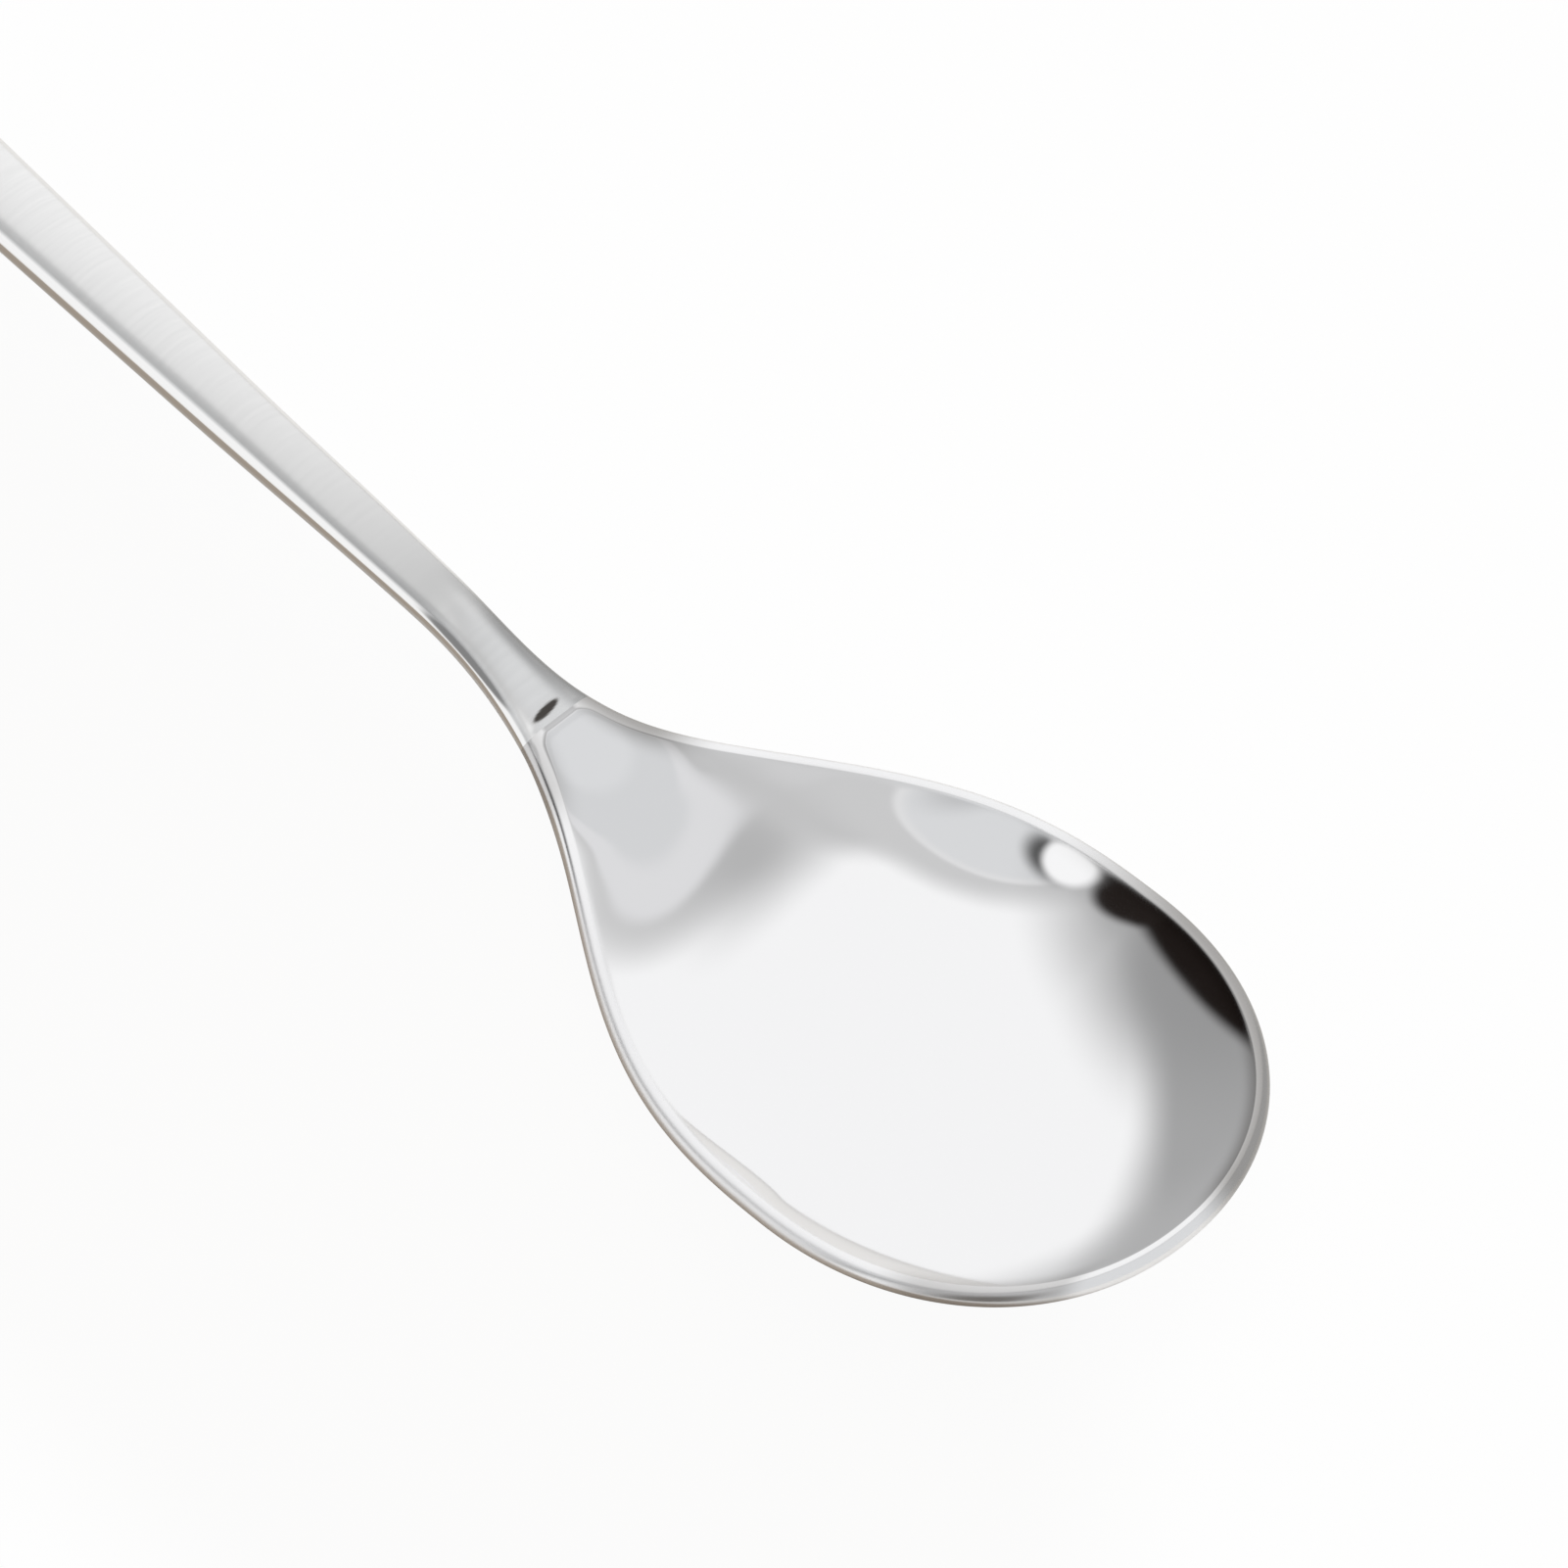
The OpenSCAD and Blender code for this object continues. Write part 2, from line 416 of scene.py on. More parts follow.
@dataclass(frozen=True)
class RestPose:
    """Places the rim's frame on the table: the tilt comes from the handle's own grip face."""

    tilt: float
    shift: tuple[float, float, float]

    @classmethod
    def from_frame(cls, form: SpoonForm, record: dict, samples: int = 4000) -> "RestPose":
        """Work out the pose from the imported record's grip face and the spoon's own ends.

        Args:
            form: the spoon's sizes.
            record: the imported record.
            samples: how many stations are searched for the lowest place.

        Returns:
            The pose on the table.
        """
        axis = next(m["axis"] for m in record["mounts"] if m["name"] == "grip_top")
        tilt = math.radians(form.handle_slope) - math.atan2(axis[0], axis[2])
        stations = np.linspace(form.probe, form.end_at - form.probe, samples)
        _, under = form.heights(stations)
        share = form.edge_share(stations, 0 * stations, under)
        depth = (under + form.keel(stations)) * np.sqrt(1 - (1 - share) ** 2)
        flat = cls(tilt, (0.0, 0.0, 0.0))
        lowest = flat.place(form.point(stations, 0 * stations, -depth))[:, 2].min()
        ends = np.stack([np.zeros(3), form.end_point])
        return cls(tilt, (-float(flat.place(ends)[:, 0].mean()), 0.0, -float(lowest)))

    def turned(self, vectors: np.ndarray) -> np.ndarray:
        """Turn vectors of the rim's frame by the tilt, about the line across the spoon.

        Args:
            vectors: vectors whose last axis is x, y, z.

        Returns:
            Vectors along the row frame's axes.
        """
        cos, sin = math.cos(self.tilt), math.sin(self.tilt)
        x, y, z = (vectors[..., k] for k in range(3))
        return np.stack([x * cos - z * sin, y, x * sin + z * cos], -1)

    def place(self, points: np.ndarray) -> np.ndarray:
        """Points of the rim's frame in millimetres, turned and shifted onto the table, in metres."""
        return self.turned(points) * MM + np.array(self.shift)


# Rings whose own edges stay sharp: the joint face's outline, and the root and end of the tang or its socket.
JOINT_RINGS = (-3, -2, -1)


def skin_mesh(name: str, first: np.ndarray, rings: np.ndarray, last: np.ndarray) -> bpy.types.Object:
    """Make one closed piece from rings, with a point at either end and faces that point outwards.

    Args:
        name: the piece's name.
        first: point that closes the first ring.
        rings: points of shape (rings, around, 3), metres.
        last: point that closes the last ring.

    Returns:
        The new object, linked to the scene.
    """
    rows, around, _ = rings.shape
    points = np.concatenate([first[None], rings.reshape(-1, 3), last[None]])
    here = 1 + np.arange(rows * around).reshape(rows, around)
    beside = np.roll(here, -1, axis=1)
    quads = np.stack([here[:-1], here[1:], beside[1:], beside[:-1]], -1).reshape(-1, 4)
    zero = np.zeros(around, int)
    fans = np.concatenate([np.stack([zero, here[0], beside[0]], -1),
                           np.stack([zero + len(points) - 1, beside[-1], here[-1]], -1)])
    triangles = np.concatenate([fans, quads[:, [0, 1, 2]], quads[:, [0, 2, 3]]])
    a, b, c = (points[triangles[:, k]] for k in range(3))
    if np.einsum("ij,ij->", a, np.cross(b, c)) < 0:
        quads, fans = quads[:, ::-1], fans[:, ::-1]
    mesh = bpy.data.meshes.new(name)
    corners = np.concatenate([quads.ravel(), fans.ravel()]).astype(np.int32)
    starts = np.concatenate([4 * np.arange(len(quads)), 4 * len(quads) + 3 * np.arange(len(fans))])
    mesh.vertices.add(len(points))
    mesh.vertices.foreach_set("co", points.astype(np.float32).ravel())
    mesh.loops.add(len(corners))
    mesh.loops.foreach_set("vertex_index", corners)
    mesh.polygons.add(len(starts))
    mesh.polygons.foreach_set("loop_start", starts.astype(np.int32))
    mesh.polygons.foreach_set("use_smooth", np.ones(len(starts), bool))
    mesh.update(calc_edges=True)
    ends = np.empty(2 * len(mesh.edges), np.int32)
    mesh.edges.foreach_get("vertices", ends)
    ring_of = (ends.reshape(-1, 2) - 1) // around
    crease = (ring_of[:, 0] == ring_of[:, 1]) & np.isin(ring_of[:, 0], [rows + k for k in JOINT_RINGS])
    mesh.attributes.new("sharp_edge", "BOOLEAN", "EDGE").data.foreach_set("value", crease)
    mesh.validate()
    piece = bpy.data.objects.new(name, mesh)
    bpy.context.scene.collection.objects.link(piece)
    return piece


def store_shares(piece: bpy.types.Object, name: str, values: np.ndarray) -> None:
    """Store a value for every point of a piece's skin; its other points keep 0.

    Args:
        piece: a piece made by skin_mesh, whose skin starts at its second point.
        name: the attribute's name.
        values: one value for each point of the skin's rings.
    """
    share = np.zeros(len(piece.data.vertices))
    share[1:1 + values.size] = values.ravel()
    piece.data.attributes.new(name, "FLOAT", "POINT").data.foreach_set("value", share)


@dataclass(frozen=True)
class BrazeResidue:
    """Dark flux left beside the joint line: a slim slanting lens, in stations and millimetres across."""

    start: tuple[float, float] = (63.7, -2.1)
    end: tuple[float, float] = (64.1, 1.3)
    half_width: float = 0.42
    edge: float = 0.4

    def mask(self, form: SpoonForm, s: np.ndarray, u: np.ndarray) -> np.ndarray:
        """Share of residue: 1 inside a slim ellipse between the two ends, fading out towards its edge.

        Args:
            form: the spoon's sizes.
            s: stations.
            u: shares of the half width.

        Returns:
            Shares from 0 to 1.
        """
        spot = np.stack([s, form.half_width(s) * u], -1) - np.array(self.start)
        line = np.array(self.end) - np.array(self.start)
        t = spot @ line / (line @ line)
        gap = np.linalg.norm(spot - t[..., None] * line, axis=-1)
        return form.blend((1 - np.hypot(2 * t - 1, gap / self.half_width)) / self.edge)


@dataclass(frozen=True)
class PaintedReflectionEdge:
    """A stretch of one edge with a painted grey reflection, in stations and millimetres.

    It is full from start to stop, grows over lead before that and ends over trail behind it. It fades out
    at depth inside the outline, and towards the middle line from the distance from_middle on.
    """

    start: float
    stop: float
    lead: float
    trail: float
    depth: float
    from_middle: float
    side: Side = Side.FAR
    strength: float = 1.0

    def mask(self, form: SpoonForm, s: np.ndarray, u: np.ndarray) -> np.ndarray:
        """Painted grey reflection share: smooth steps up and down the edge, and a smooth fade in from the
        outline.

        Args:
            form: the spoon's sizes.
            s: stations.
            u: shares of the half width.

        Returns:
            Shares from 0 to 1, and 0 on the other half.
        """
        along = form.blend((s - self.start) / self.lead + 1) * (1 - form.blend((s - self.stop) / self.trail))
        half = form.blend(form.half_width(s) * u * self.side.value / self.from_middle)
        return self.strength * along * half * (1 - form.blend(form.plan_gap(s, u) / self.depth))


def bare_material(name: str) -> bpy.types.Material:
    """Make a material with an empty node tree.

    Args:
        name: the material's name.

    Returns:
        The material.
    """
    made = bpy.data.materials.new(name)
    made.use_nodes = True
    made.node_tree.nodes.clear()
    return made


@dataclass(frozen=True)
class MirrorPolishedSteel:
    """Stainless steel, pressed and buffed to a mirror.

    Buffing leaves a near-perfect mirror with a faint haze in patches, and a waviness too shallow to see
    except where a straight reflection bends a little. The wheel runs off the rolled rim, so the rim is
    hazier. Some stretches of the edges carry a painted grey reflection.
    """

    name: str = "stainless_steel_mirror_polished"
    colour: str = "#f6f6f7"
    roughness: float = 0.03
    haze: float = 0.02
    haze_patch: float = 9.0 * MM
    haze_detail: float = 3.0
    haze_range: tuple[float, float] = (0.4, 0.75)
    wave_length: float = 14.0 * MM
    wave_height: float = 0.0015 * MM
    wave_detail: float = 1.0
    rim: str = "rim"
    rim_roughness: float = 0.42
    # A grey reflection is painted, in this colour, on the edge stretches that this attribute marks.
    painted_reflection: str = "painted_reflection"
    painted_reflection_colour: str = "#aaa8a6"

    def material(self) -> bpy.types.Material:
        """Build the procedural material: hazy where rim says, painted grey reflection where
        painted_reflection says.

        Returns:
            The material.
        """
        made = bare_material(self.name)
        tree = made.node_tree
        place = add_node(tree, "ShaderNodeTexCoord").outputs["Object"]
        patch = add_node(tree, "ShaderNodeTexNoise", {
            "Vector": place, "Scale": 1 / self.haze_patch, "Detail": self.haze_detail})
        rough = add_node(tree, "ShaderNodeMapRange", {
            "Value": patch.outputs["Fac"], "From Min": self.haze_range[0], "From Max": self.haze_range[1],
            "To Min": self.roughness, "To Max": self.roughness + self.haze})
        edge = add_node(tree, "ShaderNodeAttribute", attribute_name=self.rim).outputs["Fac"]
        worn = add_node(tree, "ShaderNodeMapRange", {
            "Value": edge, "To Min": rough.outputs["Result"], "To Max": self.rim_roughness})
        wave = add_node(tree, "ShaderNodeTexNoise", {
            "Vector": place, "Scale": 1 / self.wave_length, "Detail": self.wave_detail})
        bump = add_node(tree, "ShaderNodeBump", {
            "Height": wave.outputs["Fac"], "Strength": 1.0, "Distance": self.wave_height})
        # Painted grey reflection: the base colour turns grey where the attribute says.
        painted_darkening = add_node(tree, "ShaderNodeAttribute", attribute_name=self.painted_reflection).outputs["Fac"]
        colour = add_node(tree, "ShaderNodeMix", {
            "Factor": painted_darkening, "A": linear(self.colour), "B": linear(self.painted_reflection_colour)}, data_type="RGBA")
        shader = add_node(tree, "ShaderNodeBsdfPrincipled", {
            "Base Color": colour.outputs["Result"], "Metallic": 1.0, "Roughness": worn.outputs["Result"],
            "Normal": bump.outputs["Normal"]})
        add_node(tree, "ShaderNodeOutputMaterial", {"Surface": shader.outputs["BSDF"]})
        return made


@dataclass(frozen=True)
class SatinBrushedSteel:
    """Stainless steel bar, brushed across on its broad faces, with the rounded edges left polished.

    Brushing gives the broad faces a soft sheen with fine streaks across the handle; the edges stay bright.
    Real brush lines are about 0.05 mm apart; they are drawn ten times coarser so that they show. Shade is
    painted on the bar behind the neck and towards its near edge, a grey reflection is painted on the far
    shoulder, and dark flux lies beside the joint.
    """

    name: str = "stainless_steel_satin_brushed"
    colour: str = "#f6f6f6"
    streak_colour: str = "#f1f1f1"
    satin_roughness: float = 0.2
    streak_roughness: float = 0.24
    edge_roughness: float = 0.08
    streak_spacing: float = 0.5 * MM
    streak_length: float = 9.0 * MM
    streak_depth: float = 0.0002 * MM
    streak_detail: float = 3.0
    streak_grain: float = 0.65
    rough_range: tuple[float, float] = (0.3, 0.7)
    tone_range: tuple[float, float] = (0.35, 0.7)
    mask: str = "satin"
    # Shade is painted, in this colour, on the brushed bar where this attribute says.
    painted_shade: str = "painted_darkening"
    painted_shade_colour: str = "#cccccc"
    # A grey reflection is painted, in this colour, on the far shoulder where this attribute says.
    painted_reflection: str = "painted_reflection"
    painted_reflection_colour: str = "#949494"
    residue: str = "residue"
    residue_colour: str = "#37322e"
    residue_roughness: float = 0.55

    def material(self) -> bpy.types.Material:
        """Build the procedural material.

        The attributes mask, dulling, painted_reflection and residue say where it is brushed, where shade is
        painted on, where a grey reflection is painted on, and where it is dirty; each later tint lies over
        the earlier ones.

        Returns:
            The material.
        """
        made = bare_material(self.name)
        tree = made.node_tree
        place = add_node(tree, "ShaderNodeTexCoord").outputs["Object"]
        stretch = (1 / self.streak_spacing, 1 / self.streak_length, 1 / self.streak_length)
        lines = add_node(tree, "ShaderNodeMapping", {"Vector": place, "Scale": stretch})
        streak = add_node(tree, "ShaderNodeTexNoise", {
            "Vector": lines.outputs["Vector"], "Scale": 1.0, "Detail": self.streak_detail,
            "Roughness": self.streak_grain}).outputs["Fac"]
        where = add_node(tree, "ShaderNodeAttribute", attribute_name=self.mask).outputs["Fac"]
        brushed = add_node(tree, "ShaderNodeMapRange", {
            "Value": streak, "From Min": self.rough_range[0], "From Max": self.rough_range[1],
            "To Min": self.satin_roughness, "To Max": self.streak_roughness})
        rough = add_node(tree, "ShaderNodeMapRange", {
            "Value": where, "To Min": self.edge_roughness, "To Max": brushed.outputs["Result"]})
        tone = add_node(tree, "ShaderNodeMapRange", {
            "Value": streak, "From Min": self.tone_range[0], "From Max": self.tone_range[1], "To Max": where})
        colour = add_node(tree, "ShaderNodeMix", {
            "Factor": tone.outputs["Result"], "A": linear(self.colour), "B": linear(self.streak_colour)},
            data_type="RGBA")
        # Tints over the brushed colour: painted shade, then a painted grey reflection, then dark flux.
        shares = {name: add_node(tree, "ShaderNodeAttribute", attribute_name=name).outputs["Fac"]
                  for name in (self.painted_shade, self.painted_reflection, self.residue)}
        tints = (self.painted_shade_colour, self.painted_reflection_colour, self.residue_colour)
        for share, tint in zip(shares.values(), tints):
            colour = add_node(tree, "ShaderNodeMix", {
                "Factor": share, "A": colour.outputs["Result"], "B": linear(tint)}, data_type="RGBA")
        dirt = shares[self.residue]
        metal = add_node(tree, "ShaderNodeMapRange", {"Value": dirt, "To Min": 1.0, "To Max": 0.0})
        matt = add_node(tree, "ShaderNodeMapRange", {
            "Value": dirt, "To Min": rough.outputs["Result"], "To Max": self.residue_roughness})
        bump = add_node(tree, "ShaderNodeBump", {
            "Height": streak, "Strength": where, "Distance": self.streak_depth})
        shader = add_node(tree, "ShaderNodeBsdfPrincipled", {
            "Base Color": colour.outputs["Result"], "Metallic": metal.outputs["Result"],
            "Roughness": matt.outputs["Result"], "Normal": bump.outputs["Normal"]})
        add_node(tree, "ShaderNodeOutputMaterial", {"Surface": shader.outputs["BSDF"]})
        return made


@dataclass(frozen=True)
class Bowl:
    """The pressed bowl with its neck stub and tang.

    The rim is hazy over rim_width, by the share rim_haze everywhere. Wear adds the rest: it grows from
    worn_from to worn_full, ends from stub_from to stub_full, and the far flank has far_wear of it.
    """

    form: SpoonForm
    pose: RestPose
    finish: MirrorPolishedSteel
    # Stretches of edge that carry a painted grey reflection.
    painted_reflection_edges: tuple[PaintedReflectionEdge, ...]
    rim_width: float = 1.2
    rim_haze: float = 0.5
    far_wear: float = 0.4
    worn_from: float = 8.0
    worn_full: float = 22.0
    stub_from: float = 46.0
    stub_full: float = 57.0
    front_rows: int = 100
    flank_rows: int = 140
    groove_rows: int = 6
    sides: int = 160

    def stations(self) -> np.ndarray:
        """Stations from the tip to the joint line, closer together round the tip and in the groove."""
        form = self.form
        lip = form.bowl_length - form.groove_width / 2
        front = form.widest_at * (1 - np.cos(np.pi / 2 * np.arange(1, self.front_rows) / self.front_rows))
        flank = np.linspace(form.widest_at, lip, self.flank_rows, endpoint=False)
        return np.concatenate([front, flank, np.linspace(lip, form.bowl_length, self.groove_rows)])

    def build(self) -> bpy.types.Object:
        """Make the bowl's skin, its joint face and its tang as one closed piece.

        Returns:
            The bare piece, with the attributes that its finish reads.
        """
        form = self.form
        stations = self.stations()
        skin = form.rings(stations, self.sides)
        tang, end = form.joint_rings(skin[-1], form.tang_diameter / 2, form.tang_length)
        rings = self.pose.place(np.concatenate([skin, tang]))
        piece = skin_mesh("spoon_bowl", self.pose.place(np.zeros(3)), rings, self.pose.place(end))
        s, u, _ = form.ring_grid(stations, self.sides)
        # Where a grey reflection is painted on the rim and the neck's edges.
        store_shares(piece, self.finish.painted_reflection, sum(edge.mask(form, s, u) for edge in self.painted_reflection_edges))
        store_shares(piece, self.finish.rim, self.hazed(s, u))
        return piece

    def hazed(self, s: np.ndarray, u: np.ndarray) -> np.ndarray:
        """Haze share of the rim: a narrow band, strongest along the near flank, weaker at the tip and stub.

        Args:
            s: stations.
            u: shares of the half width.

        Returns:
            Shares from 0 to 1.
        """
        form = self.form
        band = 1 - form.blend(form.plan_gap(s, u) / self.rim_width)
        worn = form.blend((s - self.worn_from) / (self.worn_full - self.worn_from))
        worn *= np.where(u * Side.NEAR.value > 0, 1.0, self.far_wear)
        bright = form.blend((s - self.stub_from) / (self.stub_full - self.stub_from))
        return band * (self.rim_haze + (1 - self.rim_haze) * worn * (1 - bright))

    def dress(self, piece: bpy.types.Object) -> None:
        """Give the piece its finish and tie it to the frame."""
        piece.data.materials.append(self.finish.material())
        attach(piece, "root")
        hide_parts(Node.BOWL.value)


@dataclass(frozen=True)
class Handle:
    """The satin bar with its rounded end and the socket for the tang.

    Brushing grows from brushed_from to brushed_full of the rolled edge's reach. A zone of painted shade
    behind the neck grows over shade_rise and fades over shade_fade; painted shade towards the near edge grows
    to shade_near over near_rise behind the joint.
    """

    form: SpoonForm
    pose: RestPose
    finish: SatinBrushedSteel
    residue: BrazeResidue
    # The far shoulder's painted grey reflection.
    shoulder: PaintedReflectionEdge
    end_rows: int = 40
    bar_rows: int = 180
    neck_rows: int = 110
    groove_rows: int = 6
    sides: int = 96
    brushed_from: float = 0.17
    brushed_full: float = 0.24
    # Painted shade behind the neck, and darker towards the near edge.
    shade_rise: float = 5.0
    shade_fade: float = 16.0
    shade_near: float = 0.6
    near_rise: float = 12.0

    def stations(self) -> np.ndarray:
        """Stations from the end to the joint line, closer together round the end and in the groove."""
        form = self.form
        lip = form.bowl_length + form.groove_width / 2
        turn = np.pi / 2 * np.arange(self.end_rows - 1, 0, -1) / self.end_rows
        end = form.end_at - form.end_round * (1 - np.sin(turn))
        bar = np.linspace(form.end_at - form.end_round, form.neck_at, self.bar_rows, endpoint=False)
        neck = np.linspace(form.neck_at, lip, self.neck_rows, endpoint=False)
        return np.concatenate([end, bar, neck, np.linspace(lip, form.bowl_length, self.groove_rows)])

    def build(self) -> bpy.types.Object:
        """Make the bar's skin, its joint face and its socket as one closed piece.

        Returns:
            The bare piece, with the attributes that its finish reads.
        """
        form = self.form
        stations = self.stations()
        skin = form.rings(stations, self.sides)
        radius, length = form.tang_diameter / 2 + form.braze_gap, form.tang_length + form.braze_gap
        socket, bottom = form.joint_rings(skin[-1], radius, length)
        rings = self.pose.place(np.concatenate([skin, socket]))
        piece = skin_mesh("spoon_handle", self.pose.place(form.end_point), rings, self.pose.place(bottom))
        s, u, above = form.ring_grid(stations, self.sides)
        satin = self.brushed(s, u, above)
        store_shares(piece, self.finish.mask, satin)
        # Painted shade on the brushed faces.
        store_shares(piece, self.finish.painted_shade, satin * self.painted_shade_share(s, u))
        # Painted grey reflection on the far shoulder.
        store_shares(piece, self.finish.painted_reflection, self.shoulder.mask(form, s, u))
        store_shares(piece, self.finish.residue, self.residue.mask(form, s, u) * above)
        return piece

    def brushed(self, s: np.ndarray, u: np.ndarray, above: np.ndarray) -> np.ndarray:
        """Brushed share of the skin: 1 on the broad faces, falling to 0 on the rounded edges.

        Args:
            s: stations.
            u: shares of the half width.
            above: which points lie on the top.

        Returns:
            Shares from 0 to 1.
        """
        radius = np.where(above, self.form.top_roll(s), self.form.heights(s)[1])
        share = self.form.edge_share(s, u, radius)
        return self.form.blend((share - self.brushed_from) / (self.brushed_full - self.brushed_from))

    def painted_shade_share(self, s: np.ndarray, u: np.ndarray) -> np.ndarray:
        """Painted shade on the brushed faces: a zone behind the neck, and a slow rise towards the near edge.

        The zone is a smooth step up at the neck and an exponential fade behind it. The rise grows behind the
        joint by a smooth step, and with the square of the way from the far edge to the near one. What both
        leave unshaded is multiplied.

        Args:
            s: stations.
            u: shares of the half width.

        Returns:
            Shares from 0 to 1.
        """
        form = self.form
        past = s - form.neck_at
        zone = form.blend(past / self.shade_rise + 1) * np.exp(-np.maximum(past, 0.0) / self.shade_fade)
        rise = form.blend((s - form.bowl_length) / self.near_rise)
        near = self.shade_near * rise * ((1 - u) / 2) ** 2
        return 1 - (1 - zone) * (1 - near)

    def dress(self, piece: bpy.types.Object) -> None:
        """Give the piece its finish and tie it to the frame."""
        piece.data.materials.append(self.finish.material())
        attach(piece, "root")
        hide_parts(Node.HANDLE.value)


def outward(azimuth: float, elevation: float) -> Vector:
    """Unit vector of a direction given in degrees: azimuth from +X towards +Y, elevation above the table."""
    az, el = math.radians(azimuth), math.radians(elevation)
    return Vector((math.cos(el) * math.cos(az), math.cos(el) * math.sin(az), math.sin(el)))


@dataclass(frozen=True)
class Card:
    """One oval soft-edged card of the studio, far away in the given direction.

    Angles are in degrees. The softness is a share of the half sizes, and the turn lifts the card's right end.
    """

    azimuth: float
    elevation: float
    half_width: float
    half_height: float
    tone: str
    softness: float
    turn: float = 0.0

    def rotation(self) -> tuple[float, float, float]:
        """Euler angles that turn local x, y, z to the card's right, up and outward directions."""
        out, roll = outward(self.azimuth, self.elevation), math.radians(self.turn)
        level = outward(self.azimuth + 90.0, 0.0)
        steep = out.cross(level)
        right = level * math.cos(roll) + steep * math.sin(roll)
        up = steep * math.cos(roll) - level * math.sin(roll)
        return tuple(Matrix((right, up, out)).transposed().to_euler())

    def mask(self, tree: bpy.types.NodeTree, ray: bpy.types.NodeSocket) -> bpy.types.NodeSocket:
        """Add nodes for the card's share: a smooth step of how far the ray passes from the card's middle.

        That distance is the length of the ray's x and y in the card's axes, scaled by its half sizes.

        Args:
            tree: the world's node tree.
            ray: direction that is looked up.

        Returns:
            Socket of the share, 1 on the card and 0 off it.
        """
        scale = (math.sin(math.radians(self.half_width)), math.sin(math.radians(self.half_height)), 1.0)
        local = add_node(tree, "ShaderNodeMapping", {
            "Vector": ray, "Rotation": self.rotation(), "Scale": scale},
            vector_type="TEXTURE").outputs["Vector"]
        flat = add_node(tree, "ShaderNodeVectorMath", {0: local, 1: (1.0, 1.0, 0.0)}, operation="MULTIPLY")
        reach = add_node(tree, "ShaderNodeVectorMath", {0: flat.outputs["Vector"]}, operation="LENGTH")
        inside = add_node(tree, "ShaderNodeMapRange", {
            "Value": reach.outputs["Value"], "From Min": 1 - self.softness, "From Max": 1 + self.softness,
            "To Min": 1.0, "To Max": 0.0}, interpolation_type="SMOOTHSTEP")
        ahead = add_node(tree, "ShaderNodeSeparateXYZ", {"Vector": local}).outputs["Z"]
        front = add_node(tree, "ShaderNodeMath", {0: ahead, 1: 0.0}, operation="GREATER_THAN")
        return add_node(tree, "ShaderNodeMath", {
            0: inside.outputs["Result"], 1: front.outputs["Value"]}, operation="MULTIPLY").outputs["Value"]


@dataclass(frozen=True)
class Screen:
    """One round soft-edged screen of the studio; its radius and softness are angles in degrees."""

    azimuth: float
    elevation: float
    radius: float
    tone: str
    softness: float

    def mask(self, tree: bpy.types.NodeTree, ray: bpy.types.NodeSocket) -> bpy.types.NodeSocket:
        """Add nodes for the screen's share: a smooth step of the cosine between the ray and its middle.

        Args:
            tree: the world's node tree.
            ray: direction that is looked up.

        Returns:
            Socket of the share, 1 on the screen and 0 off it.
        """
        middle = tuple(outward(self.azimuth, self.elevation))
        cosine = add_node(tree, "ShaderNodeVectorMath", {0: ray, 1: middle}, operation="DOT_PRODUCT")
        outer, inner = (math.cos(math.radians(self.radius + k * self.softness)) for k in (1, -1))
        return add_node(tree, "ShaderNodeMapRange", {
            "Value": cosine.outputs["Value"], "From Min": outer, "From Max": inner},
            interpolation_type="SMOOTHSTEP").outputs["Result"]


@dataclass(frozen=True)
class PhotoCamera:
    """The photograph's viewpoint, given against the plane of the rim, in degrees and millimetres."""

    elevation: float = 50.861
    turn: float = -45.018
    aim: tuple[float, float, float] = (-48.029, 8.311, 0.0)
    distance: float = 600.0
    pixels_per_mm: float = 14.223
    picture: float = 1601.0
    sensor: float = 36.0
    nearest: float = 10.0
    farthest: float = 20000.0

    def build(self, pose: RestPose) -> bpy.types.Object:
        """Make the camera: right and up lie in the picture, back points from the spoon to the lens.

        Args:
            pose: where the rim's frame lies.

        Returns:
            The camera, set as the scene's own.
        """
        e, t = math.radians(self.elevation), math.radians(self.turn)
        forward = np.array([math.sin(t), math.cos(t), 0.0])
        right = np.array([math.cos(t), -math.sin(t), 0.0])
        up = math.sin(e) * forward + np.array([0.0, 0.0, math.cos(e)])
        back = -math.cos(e) * forward + np.array([0.0, 0.0, math.sin(e)])
        data = bpy.data.cameras.new("photo_camera")
        data.sensor_width = self.sensor
        data.lens = self.sensor * self.pixels_per_mm * self.distance / self.picture
        data.clip_start = self.nearest * MM
        data.clip_end = self.farthest * MM
        camera = bpy.data.objects.new("photo_camera", data)
        place = pose.place(np.array(self.aim) + back * self.distance)
        matrix = np.eye(4)
        matrix[:3, :3] = pose.turned(np.stack([right, up, back])).T
        matrix[:3, 3] = place
        camera.matrix_world = Matrix(matrix.tolist())
        bpy.context.scene.collection.objects.link(camera)
        bpy.context.scene.camera = camera
        return camera


